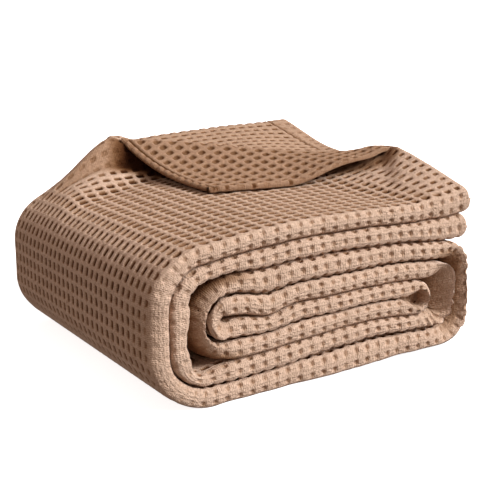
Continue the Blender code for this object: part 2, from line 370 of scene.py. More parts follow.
# ---- cotton
YARN_DARK = (0.5, 0.325, 0.232, 1.0)
YARN_LIGHT = (0.76, 0.54, 0.41, 1.0)
BLOTCH = {"Scale": 520.0, "Detail": 6.0, "Roughness": 0.75}
BLOTCH_SPAN = {"From Min": 0.33, "From Max": 0.67}
# Painted shade takes more green than red, and most blue, so that it turns reddish as it deepens.
HOLLOW_SHADE = 0.95
SHADE_POWERS = {"X": 1.0, "Y": 1.31, "Z": 1.68}
THREADS_ALONG = 7.0
THREADS_AROUND = 3.0
FUZZ = {"Scale": 900.0, "Detail": 4.0}
FUZZ_SHARE = 14.0
YARN_BUMP = {"Distance": 0.00011, "Strength": 1.0}
COTTON = {"Roughness": 0.92, "Specular IOR Level": 0.08}

# ---- stage, light and camera
WHITE = (1.0, 1.0, 1.0, 1.0)
FLOOR = {"Base Color": (0.9, 0.9, 0.9, 1.0), "Roughness": 0.9, "Emission Color": WHITE,
         "Emission Strength": 0.85}
FLOOR_REACH = 200.0
FLOOR_HEIGHT = -0.0004
AMBIENT = (0.45, 0.37, 0.325, 1.0)
AMBIENT_BELOW = {"From Min": -0.25, "From Max": 0.25, "To Min": 0.55}
KEY_FROM = (0.465, -0.651, 0.598)
KEY_COLOR = (0.95, 1.0, 1.02)
KEY_STRENGTH = 4.3
KEY_SPREAD = math.radians(28.0)
CAMERA_PLACE = (-0.402, -0.6271, 0.2602)
CAMERA_ELEVATION = math.radians(14.456)
CAMERA_AZIMUTH = math.radians(-33.543)
CAMERA_LENS = 70.0
SENSOR = 36.0


# ==== small helpers
def smooth(value):
    """Ease from 0 to 1 as value goes from 0 to 1."""
    value = np.clip(value, 0.0, 1.0)
    return value * value * (3.0 - 2.0 * value)


def ramp(value, span):
    """Ease from 0 to 1 as value goes from one end of a span to the other."""
    return smooth((value - span[0]) / (span[1] - span[0]))


def between(value, starts, ends):
    """1 between two spans, where something starts and where it ends, and 0 outside them."""
    return ramp(value, starts) * (1.0 - ramp(value, ends))


def near(distance, place, reach):
    """1 at a place, easing to 0 a reach away from it."""
    return np.clip(1.0 - ((distance - place) / reach) ** 2, 0.0, 1.0)


def looked_up(value, table):
    """Value of a table of pairs, straight between its rows and level past its ends."""
    return np.interp(value, *zip(*table))


def bell(distance, width):
    """1 in the middle, easing to 0 a few widths away."""
    return np.exp(-(distance / width) ** 2)


def wander(distance):
    """A slow unevenness along the strip."""
    return sum(size * np.sin(rate * distance + start) for rate, start, size in WANDER)


# ==== the height of the stack
def level(number):
    """Height of the middle line of a level of the stack, counted from the top."""
    return STRIP / 2 + (LEVELS - number) * PITCH


def puff(x, y):
    """Height of the stack over the point (x, y), as a share of its nominal height."""
    sag = sum(share * ramp(x, span) for share, span in SAGS)
    rise = ramp(y, PUFF_DEPTH_SPAN) * ramp(x, PUFF_WIDTH_SPAN)
    return 1.0 - sag + BACK_PUFF * rise


def crest_height(along):
    """Height of the roll's crest, which hangs lowest towards its right end."""
    along = np.clip(along, 0.0, 1.0)
    height = CREST_LEFT[2] + (CREST_RIGHT[2] - CREST_LEFT[2]) * along
    bump = CREST_BUMP * bell(along - CREST_BUMP_AT, CREST_BUMP_WIDE)
    return height + bump - CREST_SAG * np.sin(math.pi * along ** CREST_SAG_LEAN)


def place_on_roll(x, y):
    """Share of the way along the roll's crest, and the distance behind it."""
    crest = (CREST_RIGHT - CREST_LEFT)[:2]
    length = math.hypot(*crest)
    out_x, out_y = x - CREST_LEFT[0], y - CREST_LEFT[1]
    along = (out_x * crest[0] + out_y * crest[1]) / length ** 2
    return along, (crest[0] * out_y - crest[1] * out_x) / length


def wall_depth(along):
    """How far the steep wall under the roll reaches forward, most at its right end."""
    return STEEP_WALL + (STEEP_WALL_RIGHT - STEEP_WALL) * ramp(along, STEEP_WALL_SPAN)


def behind_wall(along, behind):
    """Distance behind the top of the steep wall, which runs along the back at the far left."""
    return behind + WALL_ALONG_BACK * (np.sqrt(along ** 2 + WALL_BEND ** 2) - along) / 2


def height_at_roll(x, y, along, behind):
    """Height of the top ply where it is raised all the way to the roll."""
    height = crest_height(along) - REAR_DROP + REAR_SLOPE * np.maximum(behind, 0.0)
    height = height + sum(rise * ramp(along, span) for rise, span in PEAKS)
    dip = ramp(x, DIP_WIDTH_SPAN) * ramp(y, DIP_DEPTH_SPAN) * ramp(behind, DIP_BEHIND_SPAN)
    return height - RIGHT_DIP * dip


def rise_to_roll(along, behind):
    """Share of its rise that the top ply has made, from 0 in front of the roll to 1 behind it."""
    gentle = looked_up(along, GENTLE_RISE)
    rise = gentle * smooth(1.0 + behind / looked_up(along, GENTLE_WIDTH))
    rise = rise + (1.0 - gentle) * smooth(1.0 + behind_wall(along, behind) / wall_depth(along))
    return ramp(along, LEFT_SLOPE_SPAN) * rise


def lifted(x, y, height):
    """Height of a point after the plies above it are raised to the roll."""
    along, behind = place_on_roll(x, y)
    full = height_at_roll(x, y, along, behind) - TOP_HEIGHT * puff(x, y)
    weight = ramp(height, (STACK_HEIGHT - RAISED_FROM, STACK_HEIGHT)) ** RAISED_POWER
    rise = np.maximum(full, 0.0) * rise_to_roll(along, behind)
    return height * puff(x, y) + rise * weight


def slumped(x, y, z):
    """Height of a point of the stack after its layers have slumped, most at the front."""
    rise = np.zeros(np.broadcast(x, y, z).shape)
    for at_x, at_z, reach_x, reach_z, amount in SLUMPS:
        rise = rise + amount * np.exp(-((x - at_x) / reach_x) ** 2 - ((z - at_z) / reach_z) ** 2)
    rise = rise * between(z, (0.0, STRIP), (level(1), STACK_HEIGHT))
    lift = BOTTOM_LIFT * ramp(x, BOTTOM_LIFT_SPAN) * (1.0 - ramp(z, (0.0, PITCH * 2)))
    lift = lift * (1.0 - ramp(y, (-DEPTH / 2, 0.0)))
    share = 1.0 - (1.0 - SLUMP_LEFT_BEHIND) * ramp(y, SLUMP_DEPTH_SPAN)
    return z + rise * share + lift


def stack_top(x, y):
    """Height of the bundle's upper surface."""
    return lifted(x, y, TOP_HEIGHT)


# ==== the strip's line and outline
def strip_corners():
    """Corners of the strip's middle line as x, z and bend radius, outer end first."""
    return (
        (TOP_END_RIGHT, level(1), 0.0),
        (LEFT_OUTER_WALL, level(1), TOP_SHOULDER),
        (LEFT_OUTER_WALL, level(8), BOTTOM_SHOULDER),
        (RIGHT_OUTER_WALL, level(8), RIGHT_RADIUS),
        (RIGHT_OUTER_WALL, level(3), RIGHT_RADIUS),
        (OUTER_TURN_LEFT, level(3), OUTER_TURN_RADIUS),
        (OUTER_TURN_LEFT, level(6), OUTER_TURN_RADIUS),
        (END_FOLD_RIGHT, level(6), U_TURN_RADIUS),
        (END_FOLD_RIGHT, level(5), U_TURN_RADIUS),
        (INNER_TURN_LEFT, level(5), U_TURN_RADIUS),
        (INNER_TURN_LEFT, level(4), U_TURN_RADIUS),
        (RIGHT_INNER_WALL, level(4), RIGHT_INNER_RADIUS),
        (RIGHT_INNER_WALL, level(7), RIGHT_INNER_RADIUS),
        (LEFT_INNER_WALL, level(7), BOTTOM_SHOULDER - PITCH),
        (LEFT_INNER_WALL, level(2), TOP_SHOULDER - PITCH),
        (SECOND_END_RIGHT, level(2), 0.0),
    )


def run_rows(start, end, heading):
    """Rows x, z, heading, curvature along a straight run, without its end."""
    steps = max(1, round(math.dist(start, end) / LINE_STEP))
    share = np.arange(steps) / steps
    x = start[0] + (end[0] - start[0]) * share
    z = start[1] + (end[1] - start[1]) * share
    return np.stack((x, z, np.full(steps, heading), np.zeros(steps)), axis=1)


def bend_rows(start, heading, turn, radius):
    """Rows x, z, heading, curvature round a bend, whose radius is negative for a right turn."""
    steps = max(2, round(abs(turn * radius) / LINE_STEP))
    angles = heading + turn * np.arange(steps) / steps
    x = start[0] + radius * (np.sin(angles) - math.sin(heading))
    z = start[1] - radius * (np.cos(angles) - math.cos(heading))
    return np.stack((x, z, angles, np.full(steps, 1.0 / radius)), axis=1)


def line_rows():
    """Rows x, z, heading, curvature along the whole of the strip's middle line."""
    corners = strip_corners()
    here = corners[0][:2]
    parts = []
    for before, corner, after in zip(corners, corners[1:], corners[2:]):
        heading = math.atan2(corner[1] - before[1], corner[0] - before[0])
        heading_out = math.atan2(after[1] - corner[1], after[0] - corner[0])
        turn = math.remainder(heading_out - heading, math.tau)
        radius = math.copysign(corner[2], turn)
        back = abs(radius * math.tan(turn / 2))
        start = (corner[0] - back * math.cos(heading), corner[1] - back * math.sin(heading))
        parts.append(run_rows(here, start, heading))
        parts.append(bend_rows(start, heading, turn, radius))
        here = (corner[0] + back * math.cos(heading_out), corner[1] + back * math.sin(heading_out))
    parts.append(run_rows(here, corners[-1][:2], heading_out))
    return np.concatenate(parts)


class StripLine:
    """The strip's middle line, and the weave's cells counted along it."""

    def __init__(self):
        rows = line_rows()
        self.x, self.z = rows[:, 0], rows[:, 1]
        self.heading = np.unwrap(rows[:, 2])
        steps = np.hypot(np.diff(self.x), np.diff(self.z))
        self.distance = np.concatenate(([0.0], np.cumsum(steps)))
        self.length = float(self.distance[-1])
        width = round(CURVE_BLUR / LINE_STEP)
        self.curvature = np.convolve(rows[:, 3], np.ones(width) / width, mode="same")
        outside = steps * (1.0 + np.maximum(self.curvature[1:], 0.0) * HALF_STRIP)
        self.cell = np.concatenate(([0.0], np.cumsum(outside))) / CELL_ALONG
        self.thickness, self.shift, self.drift = (self.eased(column) for column in (1, 2, 3))

    def eased(self, column):
        """A column of the shape table at every point of the line, with its corners rounded."""
        table = np.array(STRIP_SHAPE)
        width = round(SHAPE_BLUR / LINE_STEP)
        values = np.pad(np.interp(self.distance, table[:, 0], table[:, column]), width, mode="edge")
        window = np.hanning(2 * width + 3)[1:-1]
        return np.convolve(values, window / window.sum(), mode="valid")

    def at_cell(self, cell):
        """Distance, x, z, heading, curvature, thickness, shift and drift at counts of cells."""
        distance = np.interp(cell, self.cell, self.distance)
        kinds = (self.distance, self.x, self.z, self.heading, self.curvature, self.thickness,
                 self.shift, self.drift)
        return [np.interp(distance, self.distance, values)[:, None] for values in kinds]

    def cell_at(self, distance):
        """Count of cells at a distance along the line."""
        return float(np.interp(distance, self.distance, self.cell))

    def to_end(self, distance):
        """Distance to the nearer end of the line."""
        return np.minimum(distance, self.length - distance)


class StripProfile:
    """The strip's own outline, measured round it from the tip of its front fold."""

    def __init__(self):
        angles = np.linspace(0.0, math.pi / 2, NOSE_STEPS)
        nose_y = NOSE_DEPTH * (1.0 - np.cos(angles) ** (2.0 / NOSE_POWER))
        nose_out = HALF_STRIP * np.sin(angles) ** (2.0 / NOSE_POWER)
        self.y = np.concatenate((nose_y - DEPTH / 2, DEPTH / 2 - nose_y[::-1]))
        self.out = np.concatenate((nose_out, nose_out[::-1]))
        steps = np.hypot(np.diff(self.y), np.diff(self.out))
        self.arc = np.concatenate(([0.0], np.cumsum(steps)))
        self.half = float(self.arc[-1])
        self.nose = float(self.arc[NOSE_STEPS - 1])

    def wrapped(self, around):
        """An arc round the strip as one between minus and plus half of the way round."""
        return (around + self.half) % (2.0 * self.half) - self.half

    def at(self, around):
        """Depth and signed offset from the middle line; positive is left of the line's way."""
        around = self.wrapped(around)
        arc = np.abs(around)
        return np.interp(arc, self.arc, self.y), np.sign(around) * np.interp(arc, self.arc, self.out)

    def flatness(self, around):
        """0 on the front and back folds and 1 on the flat sides between them."""
        arc = np.abs(self.wrapped(around))
        span = (FOLD_ENDS[0] * self.nose, FOLD_ENDS[1] * self.nose)
        return ramp(np.minimum(arc, self.half - arc), span)


LINE = StripLine()
PROFILE = StripProfile()
STRETCH_ENDS = [first for _, first, _ in STRETCHES[1:]] + [LINE.length]


# ==== the weave
def hollow_share(offset, half, soft):
    """1 in the middle of a hollow and 0 past its rim."""
    return 1.0 - smooth((np.abs(offset) - half + soft) / (2.0 * soft))


def waffle(along, around, sizes, cells=(CELL_ALONG, CELL_AROUND), to_right=0.0):
    """Relief in metres and share of painted shade at cloth coordinates counted in cells.

    `to_right` is 1 where the line runs to the right, and -1 where it runs to the left.
    """
    off_along = (along - np.round(along)) * cells[0]
    off_around = (around - np.round(around)) * cells[1]
    soft = sizes["soft"]
    square = hollow_share(off_along, sizes["along"], soft)
    square = square * hollow_share(off_around, sizes["around"], soft)
    out = np.hypot(off_along, off_around * sizes["along"] / sizes["around"])
    dimple = hollow_share(out, sizes["along"] - DIMPLE_SMALLER * soft, DIMPLE_SOFTER * soft)
    hollow = square + (dimple - square) * sizes["round"]
    groove = hollow_share(off_around, sizes["around"] + soft, BAR_SOFTER * soft)
    # A round hollow gets its painted shade only on its side away from the light.
    crescent = 1.0 - sizes["round"] * (1.0 - ramp(off_along * to_right, CRESCENT_SPAN))
    # Less painted shade on a hollow's floor.
    floor = 1.0 - FLOOR_LIGHT * ramp(hollow, FLOOR_FROM)
    painted_shade = sizes["painted_shade"] * ramp(hollow, PAINTED_SHADE_FROM) * crescent * floor
    return -sizes["deep"] * hollow - sizes["bar"] * groove, painted_shade


def blended(first, second, share):
    """Relief sizes that go from the first to the second as share goes from 0 to 1."""
    return {key: first[key] + (second[key] - first[key]) * share for key in first}


def strip_sizes(points, distance, flat):
    """Relief sizes on the strip: on the top, where that is raised, on other faces and on folds."""
    x, y = points[:, :, 0], points[:, :, 1]
    raised = stack_top(x, y) - TOP_HEIGHT * puff(x, y)
    top = blended(TOP, RAISED, ramp(raised, RAISED_BY))
    face = blended(FACE, top, ramp(distance, TOP_UP_TO))
    return blended(FOLD, face, flat)


# ==== meshes
def normals_of(points, wraps):
    """Unit normals of a grid of points, whose last column may close on its first."""
    down = np.gradient(points, axis=0)
    if wraps:
        right = np.roll(points, -1, axis=1) - np.roll(points, 1, axis=1)
    else:
        right = np.gradient(points, axis=1)
    normals = np.cross(down, right)
    return normals / np.maximum(np.linalg.norm(normals, axis=2, keepdims=True), 1e-12)


def grid_quads(rows, columns, capped):
    """Corners of the faces of a tube of rows and columns, with its ends closed if capped."""
    index = np.arange(rows * columns).reshape(rows, columns)
    index = np.concatenate((index, index[:, :1]), axis=1)
    quads = np.stack((index[:-1, :-1], index[1:, :-1], index[1:, 1:], index[:-1, 1:]), axis=-1)
    quads = quads.reshape(-1, 4)
    if capped:
        upper = np.arange(columns // 2 - 1)
        lower = columns - 1 - upper
        cap = np.stack((upper, upper + 1, lower - 1, lower), axis=1)
        quads = np.concatenate((quads, cap, cap[:, ::-1] + (rows - 1) * columns))
    return quads


def tube_piece(name, points, normals, maps, capped=False):
    """A mesh object from a grid of points, with its normals, cloth map and attributes.

    Its last column closes on its first. A capped one is a flat tube, whose first half of columns
    is the upper side, and its first and last rows are closed too.
    """
    quads = grid_quads(*points.shape[:2], capped)
    mesh = bpy.data.meshes.new(name)
    mesh.vertices.add(points.shape[0] * points.shape[1])
    mesh.vertices.foreach_set("co", points.astype(np.float32).ravel())
    mesh.loops.add(quads.size)
    mesh.loops.foreach_set("vertex_index", quads.astype(np.int32).ravel())
    mesh.polygons.add(len(quads))
    mesh.polygons.foreach_set("loop_start", np.arange(0, quads.size, 4, dtype=np.int32))
    mesh.update(calc_edges=True)
    mesh.shade_smooth()
    mesh.normals_split_custom_set_from_vertices(normals.reshape(-1, 3).tolist())
    cloth = np.stack((maps["along"], maps["around"]), axis=-1).reshape(-1, 2)
    layer = mesh.uv_layers.new(name="cloth")
    layer.data.foreach_set("uv", cloth[quads.ravel()].astype(np.float32).ravel())
    # Painted shade in hollows and grooves, and painted light on the folds, for the material.
    for key in ("hollow", "painted_light"):
        attribute = mesh.attributes.new(key, "FLOAT", "POINT")
        attribute.data.foreach_set("value", maps[key].astype(np.float32).ravel())
    return shown(name, mesh)


def shown(name, data):
    """A new object of the scene for a mesh, a lamp or a camera."""
    thing = bpy.data.objects.new(name, data)
    bpy.context.scene.collection.objects.link(thing)
    return thing


# ==== the strip's skin
def cell_lines(first, last, shares):
    """Counts of cells from first to last that fall on the given shares of a cell."""
    whole = np.arange(math.floor(first) - 1, math.ceil(last) + 2)
    lines = (whole[:, None] + np.array(shares)[None, :]).ravel()
    lines = lines[(lines > first + CLOSEST_LINES) & (lines < last - CLOSEST_LINES)]
    return np.concatenate(([first], lines, [last]))


def around_lines(outside_shown):
    """Arcs round the strip for grid lines: close where the cloth shows, else a coarse step."""
    half = PROFILE.half
    reach = PROFILE.nose + FOLD_REACH
    seam = half / 2
    fine = [(-half - reach, -half + reach), (-reach, reach)]
    if outside_shown:
        fine = [(-half - reach, reach)]
    lines = [seam]
    here = seam - 2 * half
    for start, end in fine:
        lines.extend(np.arange(here, start, COARSE_STEP))
        lines.extend(cell_lines(start / CELL_AROUND, end / CELL_AROUND, FINE_AROUND) * CELL_AROUND)
        here = end + COARSE_STEP
    lines.extend(np.arange(here, seam - COARSE_STEP / 2, COARSE_STEP))
    return np.unique(np.round(np.array(lines), 7))[:-1]


def front_fade(y):
    """1 at the front, easing to 0 where the front folds' own shapes end."""
    return 1.0 - ramp(y + DEPTH / 2, DRAWN_BACK_FADES)


def drawn_back(distance, side):
    """How far a point of the front folds lies behind the front."""
    back = BACK_EVERYWHERE + FRONT_WANDER * wander(distance)
    for at, reach, left, right, power, forward in DRAWN_BACK:
        to_left, to_right = ((1.0 + side) / 2) ** power, ((1.0 - side) / 2) ** power
        here = near(distance, at, reach) ** 2
        back = back + here * (left * to_left + right * to_right - forward)
    return back + open_fold(distance, side) + pleats(distance, side)


def open_fold(distance, side):
    """The mouth of the closed end's fold, whose rim stays in front."""
    rim = OPEN_FOLD["rim"] + 2.0 * np.abs(distance - OPEN_FOLD["at"]) / OPEN_FOLD["reach"]
    return OPEN_FOLD["deep"] * smooth((side - rim) / OPEN_FOLD["wall"])


def pleats(distance, side):
    """Small creases across the strip at the lower right."""
    at, reach = PLEATS["at"], PLEATS["reach"]
    turns = PLEATS["count"] * (distance - at) / reach + PLEATS["lean"] * side
    return PLEATS["deep"] * near(distance, at, reach) * (0.5 - 0.5 * np.cos(math.tau * turns))


def painted_front_light(distance, side, back, fade):
    """Painted light on the front folds: shade further back and in gaps, a highlight on a rim."""
    share = np.clip(back / BACK_SHADE["at"], 0.0, 1.0)
    painted_light = 1.0 - BACK_SHADE["most"] * share ** BACK_SHADE["power"]
    for at, reach, start, full, shade in GAP_SHADES:
        here = near(distance, at, reach) * fade
        painted_light = painted_light * (1.0 - shade * here * ramp(side, (start, full)))
    return painted_light


def bluntness(distance):
    """Share of the strip's thickness near its ends, which are rounded off."""
    end = np.clip(LINE.to_end(distance) / HALF_STRIP, 0.0, 1.0)
    return (1.0 - (1.0 - end) ** END_POWER) ** (1.0 / END_POWER)


def strip_points(rows, around):
    """Points of the strip's skin for rows of its line and arcs round it."""
    distance, x, z, heading, curvature, thickness, shift, _ = rows
    y, out = PROFILE.at(around)
    side = out / HALF_STRIP
    blunt = bluntness(distance)
    uneven = THICKNESS_WANDER["size"] * wander(distance * THICKNESS_WANDER["rate"])
    out = out * (thickness + uneven) + shift
    room = np.maximum(1.0 / np.maximum(np.abs(curvature), 1.0) - SMALLEST_BEND, 0.0)
    out = np.where(out * curvature > 0, np.clip(out, -room, room), out) * blunt
    lean = END_SHEAR * side * blunt * (1.0 - ramp(distance, END_SHEAR_SPAN))
    y = y + drawn_back(distance, side) * front_fade(y)
    x = x - out * np.sin(heading) + lean
    z = z + out * np.cos(heading)
    return np.stack((x, y, lifted(x, y, slumped(x, y, z))), axis=-1)


def even_arcs(rows, around):
    """Arcs round the strip, moved so that cloth that is raised keeps the size of its cells."""
    dense = -np.linspace(0.0, PROFILE.half, EVEN_STEPS)
    points = strip_points(rows, dense[None, :] + np.zeros((len(rows[0]), 1)))
    steps = np.linalg.norm(np.diff(points, axis=1), axis=2)
    length = np.concatenate((np.zeros((len(steps), 1)), np.cumsum(steps, axis=1)), axis=1)
    arcs = around.copy()
    for row, lengths in zip(arcs, length):
        upper = (row < 0) & (row > -PROFILE.half)
        arc, past = -row[upper], -row[upper] - EVEN_UP_TO
        stretch = (lengths[-1] - EVEN_UP_TO) / (PROFILE.half - EVEN_UP_TO)
        wanted = np.where(past < 0, arc, EVEN_UP_TO + past * stretch)
        row[upper] = np.interp(wanted, lengths, dense)
    return arcs


def strip_grid(first, last, outside_shown):
    """Counts of cells along a stretch, rows of the line there, and counts and arcs round it.

    One more row lies past each end, so that two neighbours get the same normals where they meet.
    """
    cells = cell_lines(LINE.cell_at(first), LINE.cell_at(last), FINE_ALONG)
    before, after = 2 * cells[0] - cells[1], 2 * cells[-1] - cells[-2]
    cells = np.concatenate(([before], cells, [after]))
    rows = LINE.at_cell(cells)
    counts = around_lines(outside_shown)[None, :] / CELL_AROUND + np.zeros((len(cells), 1))
    drift = rows[-1]
    return cells, rows, counts, (counts - drift) * CELL_AROUND


def outward_normals(points, heading, out):
    """Unit normals of the strip's skin that point away from its middle line."""
    normals = normals_of(points, True)
    away = normals[:, :, 2] * np.cos(heading) - normals[:, :, 0] * np.sin(heading)
    return normals if (away * out).sum() > 0 else -normals


def weave_strength(distance, around, back, flat):
    """Share of the relief that is left on the strip."""
    place = distance * RELIEF_WANDER["rate"] + around * RELIEF_WANDER["rate_around"]
    strength = 1.0 + RELIEF_WANDER["size"] * wander(place)
    strength = strength * ramp(LINE.to_end(distance), END_PLAIN_SPAN)
    drawn = np.clip(back / BACK_PLAIN["at"], 0.0, 1.0)
    fold = looked_up(distance, PLAIN_FOLD)
    strength = strength * (1.0 - BACK_PLAIN["most"] * drawn) * (fold + (1.0 - fold) * flat)
    return strength * looked_up(distance, PLAIN)


def strip_piece(name, first, last, outside_shown):
    """The woven skin of a stretch of the strip, between two distances along its line."""
    cells, rows, counts, around = strip_grid(first, last, outside_shown)
    flat = PROFILE.flatness(around)
    if outside_shown:
        around = even_arcs(rows, around)
    distance, heading = rows[0], rows[3]
    y, out = PROFILE.at(around)
    side, fade = out / HALF_STRIP, front_fade(y)
    back = drawn_back(distance, side) * fade
    # Painted shade where the front folds draw back and in gaps, a painted highlight on rims.
    painted_light = painted_front_light(distance, side, back, fade)

    points = strip_points(rows, around)
    along = cells[:, None] + np.zeros_like(counts)
    sizes = strip_sizes(points, distance, flat)
    relief, hollow = waffle(along, counts, sizes, to_right=np.cos(heading))
    strength = weave_strength(distance, around, back, flat)
    groove = 0.0
    if name == "top_layer":
        groove, left = rear_hem(points)
        strength = strength * left * top_strength(points, cells)
    # Painted shade in the hollows and in the stitched groove at the back right.
    hollow = np.maximum(hollow * strength, groove / STITCH_DEEP * REAR_STITCH_PAINTED_SHADE)
    height = relief * strength - groove
    points = points + outward_normals(points, heading, out) * height[:, :, None]
    # The top ply also gets painted shade under the roll and behind it.
    if name == "top_layer":
        painted_light = painted_light * painted_top_shade(points)
    normals = outward_normals(points, heading, out)

    hollow = np.minimum(hollow, MOST_HOLLOW)
    maps = {"along": along, "around": counts, "hollow": hollow, "painted_light": painted_light}
    maps = {key: values[1:-1] for key, values in maps.items()}
    return tube_piece(name, points[1:-1], normals[1:-1], maps)


# ==== the top ply
def steep_wall(points):
    """1 on the steep wall under the roll, where the weave hardly shows, and 0 elsewhere."""
    along, behind = place_on_roll(points[:, :, 0], points[:, :, 1])
    behind = behind_wall(along, behind)
    foot, top = (-STEEP_WALL - WALL_EDGE, -STEEP_WALL), (0.0, WALL_EDGE)
    return between(along, WALL_STARTS, WALL_ENDS) * between(behind, foot, top)


def wall_shade(points):
    """Painted shade under the roll: most in the hollow at its left end."""
    along, behind = place_on_roll(points[:, :, 0], points[:, :, 1])
    left = between(along, *LEFT_HOLLOW_SPANS) * ramp(behind_wall(along, behind), LEFT_HOLLOW_DEEP)
    right = between(along, *RIGHT_HOLLOW_SPANS) * ramp(behind, RIGHT_HOLLOW_DEEP)
    shade = np.maximum(LEFT_HOLLOW_SHADE * left, RIGHT_HOLLOW_SHADE * right)
    shade = shade * (1.0 - ramp(behind, HOLLOW_ENDS_BEHIND))
    return np.maximum(WALL_SHADE * steep_wall(points), shade)


def painted_top_shade(points):
    """Painted shade on the top ply: under the roll and behind it."""
    behind = place_on_roll(points[:, :, 0], points[:, :, 1])[1]
    return (1.0 - wall_shade(points)) * (1.0 - REAR_SHADE * ramp(behind, REAR_SHADE_SPAN))


def top_strength(points, cells):
    """Share of the relief that is left on the top ply, where it is stretched and on the wall."""
    stretch = np.linalg.norm(np.gradient(points, cells, axis=0), axis=2) / CELL_ALONG
    stretched = 1.0 - STRETCHED_PLAIN * ramp(stretch, STRETCHED_BY)
    return stretched * (1.0 - WALL_PLAIN * steep_wall(points))


def rear_hem(points):
    """Depth of the stitched groove at the back right, and the share of relief left in the hem."""
    (x0, y0), (x1, y1) = REAR_HEM
    edge = x0 + (x1 - x0) * (points[:, :, 1] - y0) / (y1 - y0)
    inside = points[:, :, 0] - edge
    here = ramp(points[:, :, 1], REAR_HEM_SPAN)
    groove = STITCH_DEEP * bell(inside, STITCH_WIDE)
    return groove * here, 1.0 - REAR_HEM_PLAIN * here * ramp(inside, REAR_HEM_INSIDE)


# ==== the turned-back corner
def crest_point(across):
    """Points of the roll's crest, a share of the way along it."""
    points = CREST_LEFT + (CREST_RIGHT - CREST_LEFT) * across[:, None]
    points[:, 2] = crest_height(across)
    return points


def edge_lift(across):
    """How far the turned-back corner is held above the top, until its end sinks into it."""
    return EDGE_LIFT * (1.0 - EDGE_SINKS * ramp(across, EDGE_SINKS_SPAN))


def edge_point(across):
    """Points of the corner's free edge, which leaves the top at the right to reach the crest."""
    pull = EDGE_MIDDLE * 2.0 - (EDGE_LEFT + EDGE_RIGHT) * 0.5
    share = across[:, None]
    spot = EDGE_LEFT * (1 - share) ** 2 + 2 * pull * share * (1 - share) + EDGE_RIGHT * share ** 2
    rest = stack_top(spot[:, 0], spot[:, 1]) + edge_lift(across)
    height = rest + (crest_point(across)[:, 2] - rest) * ramp(across, EDGE_LEAVES_SPAN)
    return np.column_stack((spot, np.maximum(height, rest)))


def flap_surface(across, share):
    """Middle surface of the turned-back corner, from its crest (0) to its free edge (1)."""
    crest, edge = crest_point(across)[:, None, :], edge_point(across)[:, None, :]
    points = crest + (edge - crest) * share[None, :, None]
    drop = DROP_LEFT + (DROP_RIGHT - DROP_LEFT) * ramp(across, DROP_SPAN)
    fall = (1.0 - share[None, :]) ** drop[:, None]
    height = edge[:, :, 2] + (crest[:, :, 2] - edge[:, :, 2]) * fall
    rest = stack_top(points[:, :, 0], points[:, :, 1]) + edge_lift(across)[:, None]
    points[:, :, 2] = np.where(share[None, :] > RESTS_FROM, np.maximum(height, rest), height)
    return points


def rolled_over(across):
    """The strip of cloth that rounds the crest and goes down behind it."""
    angles = np.linspace(ROLL_OVER_TURN, 0.0, ROLL_OVER_LINES, endpoint=False)
    crest = crest_point(across)[:, None, :]
    way = (CREST_RIGHT - CREST_LEFT)[:2]
    behind = np.array((-way[1], way[0])) / math.hypot(*way)
    points = crest + np.zeros((1, len(angles), 1))
    points[:, :, :2] += ROLL_OVER * np.sin(angles)[None, :, None] * behind
    points[:, :, 2] -= ROLL_OVER * (1.0 - np.cos(angles))[None, :]
    return points


def flap_middle():
    """Shares across the corner, its middle surface, and its normals, which point up."""
    across = np.linspace(0.0, FLAP_END, FLAP_ACROSS)
    share = np.linspace(0.0, 1.0, FLAP_DOWN)
    middle = np.concatenate((rolled_over(across), flap_surface(across, share)), axis=1)
    middle[:, :, 2] -= SINK * ramp(across, SINK_SPAN)[:, None]
    up = normals_of(middle, False)
    return across[:, None], middle, up if up[:, :, 2].sum() > 0 else -up


def flap_cloth(middle):
    """Cloth coordinates of the corner, whose weave runs across that of the top."""
    heading = np.array((math.cos(FLAP_HEADING), math.sin(FLAP_HEADING)))
    aside = np.array((heading[1], -heading[0]))
    plan = middle[:, :, :2]
    return plan @ heading / FLAP_CELLS[0], plan @ aside / FLAP_CELLS[1]


def edge_distances(middle):
    """Distances of the corner's points from its side edge and from its front edge."""
    side = EDGE_LEFT - CREST_LEFT[:2]
    side = side / math.hypot(*side)
    from_side = (middle[:, :, :2] - EDGE_LEFT) @ np.array((-side[1], side[0]))
    steps = np.linalg.norm(np.diff(middle, axis=1), axis=2)[:, ::-1]
    from_front = np.concatenate((np.zeros((len(steps), 1)), np.cumsum(steps, axis=1)), axis=1)
    return np.abs(from_side), from_front[:, ::-1]


def hem(distance, width):
    """Swelling of a rolled edge, depth of its stitched groove, and the relief left in it."""
    roll = np.sqrt(np.clip(1.0 - (2.0 * distance / width - 1.0) ** 2, 0.0, 1.0))
    past = ramp(distance, (width, width + HEM_RELIEF_SPAN))
    return roll * HEM_RAISE, bell(distance - width, STITCH_WIDE), HEM_RELIEF + (1.0 - HEM_RELIEF) * past


def flap_hems(across, along, middle):
    """Swelling of the corner's two hems, share of their grooves' depth, and the relief left."""
    from_side, from_front = edge_distances(middle)
    side_roll, side_groove, side_relief = hem(from_side, HEM_SIDE)
    front_roll, front_groove, front_relief = hem(from_front, HEM_FRONT)
    size, rate, start = SECOND_LUMPS
    lumps = np.cos(math.tau * along) + size * np.sin(math.tau * rate * along + start)
    thinner = ramp(across, HEM_THINS)
    front_roll = front_roll * (1.0 + HEM_LUMPS * lumps) * (1.0 - HEM_THINNER * thinner)
    front_groove = front_groove * np.clip(LUMPY_GROOVE[0] + LUMPY_GROOVE[1] * lumps, 0.0, 1.0)
    dents = ramp(lumps, DENT_LUMPS) * (1.0 - ramp(from_front, DENT_SPAN)) * (1.0 - thinner)
    knot = bell(np.hypot(from_side - KNOT_AT, from_front - KNOT_AT), KNOT_WIDE)
    groove = np.maximum(np.maximum(side_groove, front_groove), np.maximum(dents, knot))
    return np.maximum(side_roll, front_roll), groove, side_relief * front_relief


